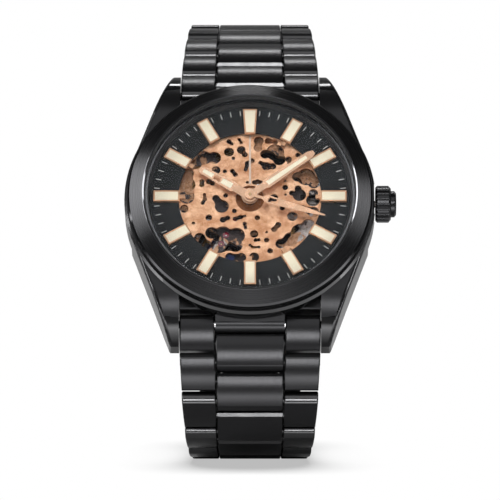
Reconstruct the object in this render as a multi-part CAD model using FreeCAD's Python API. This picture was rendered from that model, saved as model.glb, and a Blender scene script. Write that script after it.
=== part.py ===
import FreeCAD, Part
import math
import os

# Automatic skeleton wristwatch on a closed three-link steel bracelet.
#
# Everything is drawn in the watch frame: x towards 3 o'clock, y towards 12 o'clock and z out of the
# dial, with the dial's top face at z = 0 on the axis of the hands. At the end each shape is turned so
# that the closed bracelet stands on its lower links, and moved so that the origin is the middle of
# the case back's outer face.

# ---------------------------------------------------------------- driving dimensions (mm, degrees)
LEAN = 62.7                # turn about x from lying on the case back to standing on the bracelet

CASE_R = 21.4              # mid case, outer radius
CASE_TOP = -0.4            # top face of the mid case, under the bezel
CASE_BASE = -8.3           # where the case back starts
CASE_BORE_R = 17.0         # bore that holds the movement
NECK_R = 18.85             # neck that the bezel snaps over
BACK_FACE = -9.6           # outer face of the case back
LUG_GAP = 24.0             # between a pair of lugs
LUG_TIP_X = 13.7           # outer corner of a lug's tip
LUG_TIP_Y = 25.4
WAIST_R = 19.6             # case wall behind the end links
WAIST_TOP = -2.4
BAR_Y = 21.5               # spring bars, which are also the first hinges of the bracelet
BAR_Z = -5.0
BAR_R = 0.75

BEZEL_R = 20.8
CRYSTAL_R = 17.85
CRYSTAL_TOP = 2.6
CRYSTAL_BASE = 1.5
BEZEL_RIM = 1.1            # height of the bezel's outer edge

DIAL_R = 17.6
DIAL_THICK = 0.4
WINDOW_R = 12.15           # opening in the dial that shows the movement
INDEX_IN = 12.0            # inner end of an hour index
INDEX_OUT = 16.4
INDEX_HEIGHT = 0.55
LUME_DEPTH = 0.12

MOVEMENT_R = 13.8
BRIDGE_R = 13.2
BRIDGE_TOP = -0.6
BRIDGE_BASE = -1.1
PLATE_TOP = -2.1
PLATE_BASE = -3.0
BACK_BRIDGE_TOP = -5.9
BACK_BRIDGE_BASE = -6.4
RIM_IN = 12.95             # inside of the main plate's rim wall

CROWN_R = 3.15
STEM_Z = -2.9
STEM_R = 0.6

# train: teeth and centre distances, with each axis given as distance and direction from the hands
CENTER_TEETH = 64
CENTER_LEAVES = 12
BARREL_TEETH = 84
THIRD_TEETH = 60
SMALL_LEAVES = 8
FOURTH_TEETH = 96
ESCAPE_TEETH = 15
MINUTE_TEETH = 36
MINUTE_LEAVES = 10
HOUR_TEETH = 40
BARREL_DISTANCE = 6.72
THIRD_DISTANCE = 5.04
ESCAPE_DISTANCE = 4.68
MINUTE_DISTANCE = 2.4
BARREL_DIRECTION = 130.0
THIRD_DIRECTION = 310.0
ESCAPE_DIRECTION = 232.0
MINUTE_DIRECTION = 40.0
BALANCE_DISTANCE = 9.2
BALANCE_DIRECTION = 238.0
BALANCE_R = 3.6
PALLET_REACH = 2.75        # escape wheel axis to pallet fork axis

# hands, with the directions that they rest at, clockwise from 12
HOUR_ANGLE = 301.0
MINUTE_ANGLE = 53.3
SECONDS_ANGLE = 107.0

# bracelet
PITCH = 6.5                # between neighbouring hinge pins
LINK_R = 1.65              # half thickness, and the radius of the rounded ends
LINK_GAP = 0.2
CROWN_RISE = 0.08          # crown of a link's top above the round ends, at its middle
CROWN_DROP = 0.32          # and its fall at the bevelled end
END_BEVEL = 0.4
SIDE_GAP = 0.15
PIN_R = 0.5
PIN_HOLE_R = 0.55
HALF_WIDTH = 11.92         # bracelet's half width at the spring bar
END_HALF_WIDTH = 9.0       # half width at the clasp
TAPER = 0.078              # half width lost for each millimetre of length after the first row
CENTER_HALF = 5.85         # half width of the centre links at the spring bar
CENTER_TAPER = 0.02
UPPER_HEADINGS = [30, 31, 38, 52, 70, 84, 104, 128]
LOWER_HEADINGS = [12, 27, 60, 90, 106, 117, 118, 135, 155, 174]

V = FreeCAD.Vector
X_AXIS = V(1, 0, 0)
Z_AXIS = V(0, 0, 1)
FAR = 60.0


# ---------------------------------------------------------------- small helpers
def polar(radius, degrees):
    """Point in the dial plane, with the direction counted counter-clockwise from x."""
    return radius * math.cos(math.radians(degrees)), radius * math.sin(math.radians(degrees))


def fuse(shapes):
    """One solid from shapes that touch."""
    shapes = list(shapes)
    return shapes[0].multiFuse(shapes[1:]).removeSplitter() if len(shapes) > 1 else shapes[0]


def cut(base, tools):
    tools = list(tools)
    return base.cut(tools) if tools else base


def group(shapes):
    """Separate solids that are kept in one node."""
    solids = []
    for shape in shapes:
        solids.extend(shape.Solids)
    return Part.makeCompound(solids)


def block(x0, x1, y0, y1, z0, z1):
    return Part.makeBox(x1 - x0, y1 - y0, z1 - z0, V(x0, y0, z0))


def disc(radius, z0, z1, x=0.0, y=0.0):
    return Part.makeCylinder(radius, z1 - z0, V(x, y, z0))


def ring(outer, inner, z0, z1, x=0.0, y=0.0):
    return disc(outer, z0, z1, x, y).cut(disc(inner, z0 - 1, z1 + 1, x, y))


def rod(radius, x0, x1, y, z):
    """Cylinder along x."""
    return Part.makeCylinder(radius, x1 - x0, V(x0, y, z), X_AXIS)


def prism(points, z0, z1):
    """Polygon in the dial plane, raised from z0 to z1."""
    corners = [V(x, y, z0) for x, y in points]
    return Part.Face(Part.makePolygon(corners + corners[:1])).extrude(V(0, 0, z1 - z0))


def turned(profile):
    """Solid of revolution about z from (radius, z) corners."""
    corners = [V(r, 0, z) for r, z in profile]
    return Part.Face(Part.makePolygon(corners + corners[:1])).revolve(V(0, 0, 0), Z_AXIS, 360)


def turned_on_x(profile, y, z):
    """Solid of revolution about a line along x from (x, radius) corners."""
    corners = [V(x, y, z + r) for x, r in profile]
    return Part.Face(Part.makePolygon(corners + corners[:1])).revolve(V(0, y, z), X_AXIS, 360)


def side_plate(edges, x0, x1):
    """Closed outline of edges in the plane x = x0, carried along to x1."""
    return Part.Face(Part.Wire(edges)).extrude(V(x1 - x0, 0, 0))


def capsule(x0, y0, x1, y1, radius, z0, z1):
    """Slot shape between two points."""
    length = math.hypot(x1 - x0, y1 - y0)
    ends = [disc(radius, z0, z1, x0, y0), disc(radius, z0, z1, x1, y1)]
    if length < 1e-6:
        return ends[0]
    nx = -(y1 - y0) / length * radius
    ny = (x1 - x0) / length * radius
    body = prism([(x0 + nx, y0 + ny), (x0 - nx, y0 - ny), (x1 - nx, y1 - ny), (x1 + nx, y1 + ny)], z0, z1)
    return ends[0].multiFuse([ends[1], body])


def cone_link(first, second, z0, z1):
    """Two circles (x, y, r) joined by a straight-sided web as wide as each circle at its end."""
    x0, y0, r0 = first
    x1, y1, r1 = second
    length = math.hypot(x1 - x0, y1 - y0)
    nx = -(y1 - y0) / length
    ny = (x1 - x0) / length
    waist = 0.8
    return prism([(x0 + nx * r0 * waist, y0 + ny * r0 * waist), (x0 - nx * r0 * waist, y0 - ny * r0 * waist),
                  (x1 - nx * r1 * waist, y1 - ny * r1 * waist), (x1 + nx * r1 * waist, y1 + ny * r1 * waist)],
                 z0, z1)


def blob(circles, z0, z1):
    """Chain of circles (x, y, r), each joined to the next."""
    shapes = [disc(r, z0, z1, x, y) for x, y, r in circles]
    shapes += [cone_link(a, b, z0, z1) for a, b in zip(circles, circles[1:])]
    return shapes[0].multiFuse(shapes[1:]) if len(shapes) > 1 else shapes[0]


def spin(shape, degrees, x=0.0, y=0.0):
    """Copy turned about a line along z."""
    copy = shape.copy()
    copy.rotate(V(x, y, 0), Z_AXIS, degrees)
    return copy


def soften(shape, size, wanted):
    """Round the edges that the test picks; a shape that can't take it stays sharp."""
    edges = [edge for edge in shape.Edges if wanted(edge)]
    try:
        rounded = shape.makeFillet(size, edges)
        if rounded.isValid() and rounded.Volume > 0:
            return rounded
    except Part.OCCError:
        pass
    return shape


# ---------------------------------------------------------------- gears
def gear_outline(teeth, module, phase):
    """Corners of a toothed wheel; phase is the direction of the middle of one tooth, in degrees."""
    pitch_r = teeth * module / 2
    flank = [(-0.29, pitch_r - 1.2 * module), (-0.2, pitch_r), (-0.08, pitch_r + 0.85 * module),
             (0.08, pitch_r + 0.85 * module), (0.2, pitch_r), (0.29, pitch_r - 1.2 * module)]
    step = 360.0 / teeth
    return [polar(radius, phase + (tooth + share) * step)
            for tooth in range(teeth) for share, radius in flank]


def gear(teeth, module, phase, z0, z1, x, y, bore, arms=0, hub=0.0, rim=0.0):
    """Toothed wheel with a bore and, if asked, windows between its arms."""
    wheel = prism(gear_outline(teeth, module, phase), z0, z1).cut(disc(bore, z0 - 1, z1 + 1))
    root = teeth * module / 2 - 1.2 * module
    if arms:
        wheel = cut(wheel, windows(arms, hub, root - rim, 0.45, z0 - 1, z1 + 1))
    wheel.translate(V(x, y, 0))
    return wheel


def windows(arms, inner, outer, arm_width, z0, z1):
    """Openings between straight arms of a wheel centred on the origin."""
    web = ring(outer, inner, z0, z1)
    spokes = [spin(block(0, outer + 1, -arm_width / 2, arm_width / 2, z0, z1), 360.0 * i / arms)
              for i in range(arms)]
    return [web.cut(spokes)]


def mesh_phase(phase_a, teeth_a, teeth_b, direction):
    """Phase of wheel b so that its gaps meet the teeth of wheel a; direction points from a to b."""
    step_a = 360.0 / teeth_a
    step_b = 360.0 / teeth_b
    ahead = ((direction - phase_a) / step_a) % 1.0
    return direction + 180.0 - step_b * (0.5 - ahead)


def spiral(inner, outer, turns, thickness, z0, z1, x, y, start=0.0):
    """Flat coil spring."""
    steps = int(turns * 20)
    inside = []
    outside = []
    for i in range(steps + 1):
        share = i / steps
        radius = inner + (outer - inner) * share
        angle = start + 360.0 * turns * share
        inside.append(polar(radius - thickness / 2, angle))
        outside.append(polar(radius + thickness / 2, angle))
    coil = prism(inside + outside[::-1], z0, z1)
    coil.translate(V(x, y, 0))
    return coil


# ---------------------------------------------------------------- positions worked out from the above
BARREL = polar(BARREL_DISTANCE, BARREL_DIRECTION)
THIRD = polar(THIRD_DISTANCE, THIRD_DIRECTION)
ESCAPE = polar(ESCAPE_DISTANCE, ESCAPE_DIRECTION)
MINUTE = polar(MINUTE_DISTANCE, MINUTE_DIRECTION)
BALANCE = polar(BALANCE_DISTANCE, BALANCE_DIRECTION)
BARREL_MODULE = 2 * BARREL_DISTANCE / (BARREL_TEETH + CENTER_LEAVES)
CENTER_MODULE = 2 * THIRD_DISTANCE / (CENTER_TEETH + SMALL_LEAVES)
THIRD_MODULE = 2 * THIRD_DISTANCE / (THIRD_TEETH + SMALL_LEAVES)
FOURTH_MODULE = 2 * ESCAPE_DISTANCE / (FOURTH_TEETH + SMALL_LEAVES)
CANNON_MODULE = 2 * MINUTE_DISTANCE / (MINUTE_TEETH + CENTER_LEAVES)
HOUR_MODULE = 2 * MINUTE_DISTANCE / (HOUR_TEETH + MINUTE_LEAVES)
ESCAPE_TO_BALANCE = math.degrees(math.atan2(BALANCE[1] - ESCAPE[1], BALANCE[0] - ESCAPE[0]))
PALLET_SHIFT = polar(PALLET_REACH, ESCAPE_TO_BALANCE)
PALLET = (ESCAPE[0] + PALLET_SHIFT[0], ESCAPE[1] + PALLET_SHIFT[1])

# heights of the wheels, from the dial side to the back
MINUTE_Z = (-1.9, -1.62)
HOUR_Z = (-1.58, -1.32)
CENTER_Z = (-3.4, -3.2)
CENTER_LEAF_Z = (-5.0, -3.45)
BARREL_Z = (-5.0, -3.6)
BARREL_TOOTH_Z = (-5.0, -4.5)
THIRD_Z = (-5.4, -5.22)
FOURTH_LEAF_Z = (-5.55, -5.1)
FOURTH_Z = (-5.75, -5.6)
ESCAPE_Z = (-4.3, -4.15)
PALLET_COCK_Z = (-4.95, -4.65)
BALANCE_Z = (-5.75, -5.38)
HAIRSPRING_Z = (-5.28, -5.12)
ROLLER_Z = (-4.4, -4.22)
RATCHET_Z = (-6.9, -6.5)
HOUR_HAND_Z = (0.35, 0.5)
MINUTE_HAND_Z = (0.7, 0.86)
SECONDS_HAND_Z = (1.05, 1.15)
PIVOT_R = 0.12
JEWEL_R = 0.55
JEWEL_HOLE_R = 0.14


# ---------------------------------------------------------------- case
def lug_outline():
    """Plan of one lug: its outer side runs straight to the case from the tip, as a tangent."""
    tip_distance = math.hypot(LUG_TIP_X, LUG_TIP_Y)
    tip_direction = math.degrees(math.atan2(LUG_TIP_Y, LUG_TIP_X))
    touch = polar(CASE_R, tip_direction - math.degrees(math.acos(CASE_R / tip_distance)))
    gap = LUG_GAP / 2
    return [(gap, 6.0), touch, (LUG_TIP_X, LUG_TIP_Y - 0.5), (LUG_TIP_X - 0.35, LUG_TIP_Y), (gap, LUG_TIP_Y)]


def lug():
    plan = prism(lug_outline(), CASE_BASE - 1, CASE_TOP + 1)
    points = [V(0, 5.0, -0.75), V(0, 15.5, -0.75), V(0, LUG_TIP_Y, -5.3), V(0, LUG_TIP_Y - 0.2, -8.6),
              V(0, 22.6, -8.75), V(0, 17.5, CASE_BASE), V(0, 5.0, CASE_BASE)]
    edges = [Part.makeLine(points[0], points[1]),
             Part.Arc(points[1], V(0, 21.5, -2.05), points[2]).toShape()]
    edges += [Part.makeLine(a, b) for a, b in zip(points[2:], points[3:])]
    edges.append(Part.makeLine(points[-1], points[0]))
    side = side_plate(edges, 0, FAR / 2)
    body = plan.common(side)

    def outer_top(edge):
        """The long edge between the lug's top and its outer side."""
        middle = edge.valueAt((edge.FirstParameter + edge.LastParameter) / 2)
        return middle.x > LUG_GAP / 2 + 1.0 and middle.z > -3.2 and middle.y > 9.0 and edge.Length > 8.0

    return soften(body, 0.7, outer_top)


def mid_case():
    band = turned([(CASE_BORE_R, CASE_TOP), (17.95, CASE_TOP), (17.95, 1.0), (NECK_R, 1.0),
                   (NECK_R, CASE_TOP), (21.0, CASE_TOP), (CASE_R, -0.8), (CASE_R, -5.6),
                   (20.9, -7.2), (19.4, CASE_BASE), (CASE_BORE_R, CASE_BASE)])
    core = disc(17.7, CASE_BASE - 1, CASE_TOP)
    one = lug()
    mirrored = one.mirror(V(0, 0, 0), X_AXIS)
    lugs = [one, mirrored, one.mirror(V(0, 0, 0), V(0, 1, 0)), mirrored.mirror(V(0, 0, 0), V(0, 1, 0))]
    body = band.multiFuse([each.cut(core) for each in lugs]).removeSplitter()
    gap = LUG_GAP / 2
    pockets = []
    for side in (1, -1):
        y0, y1 = sorted((side * 10.0, side * FAR))
        pockets.append(block(-gap, gap, y0, y1, -FAR, WAIST_TOP).cut(disc(WAIST_R, -FAR, FAR)))
    holes = [rod(BAR_R + 0.05, -13.0, 13.0, side * BAR_Y, BAR_Z) for side in (1, -1)]
    crown_seat = rod(CROWN_R + 0.35, 21.15, FAR, 0, STEM_Z)
    stem_hole = rod(STEM_R + 0.15, 15.0, FAR, 0, STEM_Z)
    return cut(body, pockets + holes + [crown_seat, stem_hole])


def bezel():
    return turned([(18.05, CRYSTAL_TOP - 0.12), (18.25, CRYSTAL_TOP), (20.5, BEZEL_RIM + 0.2),
                   (BEZEL_R, BEZEL_RIM - 0.1), (BEZEL_R, CASE_TOP), (NECK_R + 0.05, CASE_TOP),
                   (NECK_R + 0.05, 1.1), (17.45, 1.1), (17.45, 1.4), (18.05, 1.4)])


def crystal():
    return turned([(0, CRYSTAL_BASE), (CRYSTAL_R, CRYSTAL_BASE), (CRYSTAL_R, CRYSTAL_TOP - 0.15),
                   (CRYSTAL_R - 0.15, CRYSTAL_TOP), (0, CRYSTAL_TOP)])


def crystal_gasket():
    return ring(18.05, CRYSTAL_R, 1.45, CRYSTAL_TOP - 0.25)


def rehaut_ring():
    return turned([(17.0, 0.0), (17.9, 0.0), (17.9, 1.05), (17.35, 1.05)])


def case_back():
    cover = turned([(18.6, CASE_BASE), (18.6, -9.1), (18.1, BACK_FACE), (14.2, BACK_FACE), (14.2, -9.15),
                    (15.05, -9.15), (15.05, -7.4), (16.9, -7.4), (16.9, CASE_BASE)])
    notch = block(17.5, 19.0, -1.0, 1.0, BACK_FACE - 1, -9.2)
    return cut(cover, [spin(notch, 60.0 * i + 30.0) for i in range(6)])


def case_back_glass():
    """Stepped window, flush with the case back's outer face."""
    return turned([(0, BACK_FACE), (14.15, BACK_FACE), (14.15, -9.15), (15.0, -9.15), (15.0, -8.45),
                   (0, -8.45)])


def movement_holder():
    holder = ring(CASE_BORE_R - 0.05, MOVEMENT_R + 0.05, -6.4, -0.45)
    return cut(holder, [block(10.0, 20.0, -1.4, 1.4, STEM_Z - 1.2, FAR)])


def spring_bars():
    bars = []
    for side in (1, -1):
        bars.append(turned_on_x([(-12.95, 0), (-12.95, 0.45), (-12.1, 0.45), (-11.9, BAR_R), (11.9, BAR_R),
                                 (12.1, 0.45), (12.95, 0.45), (12.95, 0)], side * BAR_Y, BAR_Z))
    return group(bars)


def end_links():
    """Curved blocks that close the gap between case and bracelet, each with a central tongue."""
    bottom = BAR_Z - LINK_R
    tongue_start = V(0, BAR_Y, BAR_Z + LINK_R)
    edges = [Part.makeLine(V(0, 15.0, -2.5), V(0, 19.4, -2.5)),
             Part.makeLine(V(0, 19.4, -2.5), tongue_start),
             Part.Arc(tongue_start, V(0, BAR_Y + LINK_R, BAR_Z), V(0, BAR_Y, bottom)).toShape(),
             Part.makeLine(V(0, BAR_Y, bottom), V(0, 15.0, bottom)),
             Part.makeLine(V(0, 15.0, bottom), V(0, 15.0, -2.5))]
    side = side_plate(edges, 0, FAR)
    side.translate(V(-FAR / 2, 0, 0))
    half = LUG_GAP / 2 - 0.05
    shoulder = BAR_Y - LINK_R - LINK_GAP
    plan = prism([(-half, 14.0), (half, 14.0), (half, shoulder), (CENTER_HALF, shoulder),
                  (CENTER_HALF, FAR / 2), (-CENTER_HALF, FAR / 2), (-CENTER_HALF, shoulder),
                  (-half, shoulder)], -FAR, FAR)
    piece = side.common(plan)
    piece = cut(piece, [disc(WAIST_R + 0.05, -FAR, FAR), rod(BAR_R + 0.05, -FAR, FAR, BAR_Y, BAR_Z)])
    return group([piece, piece.mirror(V(0, 0, 0), V(0, 1, 0))])


# ---------------------------------------------------------------- dial
def dial_plate():
    return ring(DIAL_R, WINDOW_R, -DIAL_THICK, 0)


def index_plan(hour):
    """Outline of an index pointing at 12: a bar, wider at its outer end on the 12 o'clock one."""
    if hour == 0:
        return [(-0.9, INDEX_IN - 0.2), (0.9, INDEX_IN - 0.2), (1.2, INDEX_OUT), (-1.2, INDEX_OUT)]
    return [(-1.0, INDEX_IN), (1.0, INDEX_IN), (1.0, INDEX_OUT), (-1.0, INDEX_OUT)]


def inset(points, margin):
    """Rectangle-like outline moved inwards on all sides."""
    middle_y = sum(y for _, y in points) / len(points)
    return [(x - math.copysign(margin, x), y - math.copysign(margin, y - middle_y)) for x, y in points]


def hour_indices():
    frames = []
    for hour in range(12):
        outline = index_plan(hour)
        frame = prism(outline, 0, INDEX_HEIGHT)
        if hour in (1, 3, 5, 6, 7, 9, 10):
            frame = fuse([frame, block(-0.35, 0.35, INDEX_IN - 0.85, INDEX_IN + 0.1, -DIAL_THICK, 0.25)
                          .cut(ring(FAR, WINDOW_R, -FAR, 0))])
        frame = cut(frame, [prism(inset(outline, 0.24), INDEX_HEIGHT - LUME_DEPTH, 1.0)])
        frames.append(spin(frame, -30.0 * hour))
    return group(frames)


# ---------------------------------------------------------------- plates and bridges
# openings of the dial-side fretwork: chains of circles (x, y, radius)
FRETWORK = [
    [(-8.2, 3.2, 0.45), (-8.2, 2.6, 0.45)],
    [(-7.0, 3.2, 0.5), (-6.4, 2.9, 0.45)],
    [(-7.75, 0.75, 0.3), (-7.7, -0.15, 0.38), (-8.05, -0.8, 0.36)],
    [(-5.8, 0.05, 0.65), (-4.8, -1.45, 1.2)],
    [(-4.15, 0.6, 0.42)],
    [(-2.65, -2.3, 0.42)],
    [(-7.0, -3.55, 0.58)],
    [(-4.6, -3.95, 0.55), (-3.8, -3.6, 0.45)],
    [(-2.5, -3.8, 0.45), (-1.6, -3.45, 0.42), (-0.85, -3.25, 0.22)],
    [(1.25, -3.6, 0.47)],
    [(-0.9, -4.7, 0.36), (-0.75, -5.5, 0.3)],
    [(4.8, -4.9, 0.52), (4.1, -5.75, 0.52)],
    [(0.7, -6.6, 0.7)],
    [(0.95, -7.75, 0.36), (1.5, -7.7, 0.3)],
    [(2.8, -6.3, 0.22)],
    [(2.8, -7.75, 0.44)],
    [(0.0, -8.7, 0.26), (0.5, -9.1, 0.26), (1.5, -9.05, 0.26)],
    [(3.4, -9.75, 0.5)],
    [(0.7, -10.9, 0.85)],
    [(7.2, -3.3, 0.88)],
    [(5.5, -1.75, 0.45)],
    [(4.1, 0.15, 0.7), (3.35, -0.3, 0.35)],
    [(7.15, 1.05, 0.5)],
    [(6.0, 2.1, 0.5)],
    [(6.0, 3.35, 0.25)],
    [(6.05, 0.75, 0.22)],
    [(0.75, 3.05, 0.42), (1.3, 3.1, 0.55), (1.8, 3.05, 0.4)],
    [(-0.45, 3.05, 0.28)],
    [(0.35, 7.15, 0.45), (-0.4, 6.6, 0.52), (-0.75, 5.45, 0.36)],
    [(1.8, 6.75, 0.4), (2.8, 6.1, 0.8), (3.9, 6.1, 0.6)],
    [(2.6, 8.4, 0.85), (4.3, 8.7, 1.55), (5.0, 7.4, 1.1)],
    [(6.6, 7.4, 0.55), (6.75, 6.75, 0.4)],
    [(-3.6, 8.8, 0.85)],
    [(-2.85, 7.6, 0.32)],
    [(-5.8, 5.35, 0.75)],
    [(-4.3, 5.15, 0.36)],
    [(-3.0, 5.2, 0.42), (-2.5, 4.5, 0.42)],
    [(-3.6, 10.8, 0.45), (-3.15, 10.35, 0.34)],
    [(-1.85, 11.2, 0.3), (-1.55, 10.6, 0.32)],
    [(1.35, 9.6, 0.75), (1.5, 10.9, 0.85)],
    [(3.1, 10.9, 0.6), (4.3, 10.7, 0.5)],
    [(-1.5, 9.2, 0.75), (-0.9, 8.3, 0.5)],
    [(-6.1, 7.7, 1.15), (-7.9, 7.7, 1.3), (-9.2, 6.5, 0.95)],
    [(-10.6, 4.7, 1.0), (-10.7, 2.6, 1.4), (-10.8, 0.4, 1.35)],
    [(-11.2, -1.9, 0.75)],
    [(-9.6, -4.6, 0.3)],
    [(-6.5, -6.4, 1.1), (-4.6, -6.9, 1.7), (-2.3, -6.9, 1.45)],
    [(-5.1, -8.6, 1.55), (-2.5, -8.7, 1.25)],
    [(-8.5, -7.4, 1.0), (-7.5, -8.7, 1.0)],
    [(-3.4, -10.9, 0.8), (-1.5, -11.0, 0.85)],
    [(-6.0, -10.4, 0.5)],
    [(8.1, 4.1, 0.9), (9.6, 4.1, 1.6), (10.9, 3.1, 1.15)],
    [(8.2, 1.9, 0.6), (8.4, 0.7, 1.15)],
    [(10.8, 1.0, 0.8), (10.7, -0.3, 1.15)],
    [(9.0, -1.9, 0.65), (10.8, -2.5, 1.0)],
    [(5.2, -8.4, 0.9), (6.9, -7.6, 1.3), (8.6, -6.3, 1.65), (9.9, -4.9, 1.1)],
    [(8.2, 8.2, 0.45)],
    [(5.5, -10.6, 0.35)],
    [(6.9, -9.6, 0.3)],
]
BOWL_R = 2.45              # sunk bowl around the hands' axis
RIB_HALF = 0.17            # thin raised rib of the fretwork, from the bowl to under the 12 o'clock index
RIB_IN = 2.7
RIB_OUT = 11.8
RIB_RISE = 0.1
PILLAR_R = 12.6            # ring of pillars that carry the fretwork, hidden under the dial
PILLAR_SCREW_R = 0.32
COCK_HALF = 3.8            # half width of the balance cock
PILLAR_ANGLES = [12 + 60 * i for i in range(6)]
BACK_SCREW_RING = 13.37    # ring of screws that hold the back bridges to the rim wall
BACK_SCREW_R = 0.28
FACE_SCREWS = [(-7.0, -3.55), (8.1, 6.0), (-9.9, -6.0), (3.4, -11.6)]


def skeleton_bridge():
    plate = disc(BRIDGE_R, BRIDGE_BASE, BRIDGE_TOP)
    bowl = [disc(BOWL_R, -1.06, FAR), disc(1.05, -FAR, FAR)]
    plate = plate.fuse(disc(BOWL_R + 0.15, -1.22, BRIDGE_BASE))
    openings = [blob(chain, BRIDGE_BASE - 1, BRIDGE_TOP + 1) for chain in FRETWORK]
    holes = [disc(PILLAR_SCREW_R, -FAR, FAR, *polar(PILLAR_R, angle)) for angle in PILLAR_ANGLES]
    plate = cut(plate, bowl + openings + holes)
    plate = soften(plate, 0.1, lambda edge: edge.BoundBox.ZMin > BRIDGE_TOP - 0.01)
    rib = block(-RIB_HALF, RIB_HALF, RIB_IN, RIB_OUT, BRIDGE_TOP - 0.3, BRIDGE_TOP + RIB_RISE)
    return fuse([plate, rib])


def arbor_places():
    """Axes that run in jewels in both the main plate and the train bridge."""
    return [THIRD, ESCAPE]


def main_plate():
    """Cup-shaped plate: a pierced floor under the fretwork and a rim wall down to the train bridge."""
    floor = disc(MOVEMENT_R, PLATE_BASE, PLATE_TOP)
    wall = ring(MOVEMENT_R, RIM_IN, BACK_BRIDGE_TOP, PLATE_BASE)
    pillars = [disc(0.8, PLATE_TOP, BRIDGE_BASE, *polar(PILLAR_R, a)) for a in PILLAR_ANGLES]
    plate = fuse([floor, wall] + pillars)
    balance_view = disc(BALANCE_R + 0.35, -FAR, FAR, *BALANCE)
    arms = block(0, 12.0, -0.9, 0.9, -FAR, FAR).fuse(block(0, 8.0, -3.3, 3.3, -FAR, FAR))
    arms.rotate(V(0, 0, 0), Z_AXIS, BALANCE_DIRECTION)
    balance_view = balance_view.cut(arms)
    openings = [balance_view.common(disc(RIM_IN, PLATE_BASE - 0.01, PLATE_TOP + 0.01))]
    openings += [blob(chain, PLATE_BASE - 0.01, PLATE_TOP + 0.01) for chain in (
        [(-2.2, 8.4, 1.5), (-4.6, 9.0, 1.4)],
        [(-8.3, 3.2, 1.6), (-8.6, 5.6, 1.3)],
        [(3.0, 8.2, 1.6), (5.2, 7.4, 1.3)],
        [(7.6, 3.4, 1.4)],
        [(5.2, -6.6, 1.3), (7.0, -4.6, 1.4)],
        [(1.2, -7.6, 1.5), (1.6, -9.6, 1.1)],
        [(-7.6, -1.6, 1.5)])]
    keyless = block(8.6, 20.0, -1.35, 1.35, STEM_Z - 0.75, PLATE_TOP + 0.01)
    holes = [disc(JEWEL_R, -FAR, FAR, *place) for place in arbor_places() + [PALLET, BALANCE]]
    holes += [disc(0.4, -FAR, FAR), disc(0.9, -FAR, FAR, *BARREL)]
    holes += [disc(PILLAR_SCREW_R, -2.0, FAR, *polar(PILLAR_R, a)) for a in PILLAR_ANGLES]
    holes += [disc(BACK_SCREW_R, BACK_BRIDGE_TOP - 1, BACK_BRIDGE_TOP + 1.2, *polar(BACK_SCREW_RING, a))
              for a in PILLAR_ANGLES]
    holes += [disc(0.25, PLATE_TOP - 0.6, FAR, *place) for place in FACE_SCREWS]
    return cut(plate, openings + [keyless] + holes).fuse(minute_post())


def minute_post():
    """Stud that the minute wheel turns on."""
    return disc(0.3, PLATE_TOP - 0.1, -1.25, *MINUTE)


def cock_area(margin):
    """Outline that the balance cock takes out of the train bridge."""
    x, y = polar(BALANCE_DISTANCE, BALANCE_DIRECTION)
    inner = disc(COCK_HALF + margin, -FAR, FAR, x, y)
    outward = block(0, 12.0, -COCK_HALF - margin, COCK_HALF + margin, -FAR, FAR)
    outward.rotate(V(0, 0, 0), Z_AXIS, BALANCE_DIRECTION)
    outward.translate(V(x, y, 0))
    return inner.fuse(outward)


def train_bridge():
    plate = disc(MOVEMENT_R, BACK_BRIDGE_BASE, BACK_BRIDGE_TOP).cut(cock_area(0.1))
    holes = [disc(JEWEL_R, -FAR, FAR, *place) for place in arbor_places()]
    holes += [disc(JEWEL_R, -FAR, FAR), disc(0.9, -FAR, FAR, *BARREL)]
    holes += [disc(BACK_SCREW_R, -FAR, FAR, *polar(BACK_SCREW_RING, a)) for a in PILLAR_ANGLES]
    return cut(plate, holes)


def balance_cocks():
    """The balance cock and the small pallet cock inside it."""
    plate = disc(MOVEMENT_R, BACK_BRIDGE_BASE, BACK_BRIDGE_TOP).common(cock_area(0.0))
    lightening = [spin(disc(1.1, -FAR, FAR, BALANCE_DISTANCE - 2.4, side * 2.2), BALANCE_DIRECTION)
                  for side in (1, -1)]
    holes = [disc(JEWEL_R, -FAR, FAR, *BALANCE)]
    holes += [disc(BACK_SCREW_R, -FAR, FAR, *polar(BACK_SCREW_RING, a)) for a in PILLAR_ANGLES]
    return group([cut(plate, lightening + holes), pallet_cock()])


def pallet_cock():
    """Small bridge on two posts that carries the inner pivot of the pallet fork."""
    low, high = PALLET_COCK_Z
    posts = [disc(0.4, high, PLATE_BASE, 0, side * 2.4) for side in (1, -1)]
    bar = fuse([block(-0.55, 0.55, -2.4, 2.4, low, high)] + [disc(0.55, low, high, 0, side * 2.4)
                                                              for side in (1, -1)] + posts)
    bar.rotate(V(0, 0, 0), Z_AXIS, ESCAPE_TO_BALANCE)
    bar.translate(V(PALLET[0], PALLET[1], 0))
    return bar.cut(disc(JEWEL_HOLE_R, -FAR, high + 0.5, *PALLET))


def jewels():
    stones = []
    for place in arbor_places() + [PALLET, BALANCE]:
        stones.append(ring(JEWEL_R, JEWEL_HOLE_R, PLATE_TOP - 0.4, PLATE_TOP + 0.05, *place))
    for place in arbor_places() + [BALANCE, (0.0, 0.0)]:
        stones.append(ring(JEWEL_R, JEWEL_HOLE_R, BACK_BRIDGE_BASE - 0.03, BACK_BRIDGE_BASE + 0.35, *place))
    return group(stones)


def screw(place, face, direction, head_r, head_height, shank_r, length, slot_turn):
    """Slotted screw; direction is +1 if its head stands above the face and -1 if below."""
    x, y = place
    top = face + direction * head_height
    slot_floor = face + direction * head_height * 0.5
    head = disc(head_r, *sorted((face, top)), x, y)
    slot = block(-head_r, head_r, -0.09, 0.09, *sorted((slot_floor, top + direction)))
    slot.rotate(V(0, 0, 0), Z_AXIS, slot_turn)
    slot.translate(V(x, y, 0))
    return head.cut(slot).fuse(disc(shank_r, *sorted((face, face - direction * length)), x, y))


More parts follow.
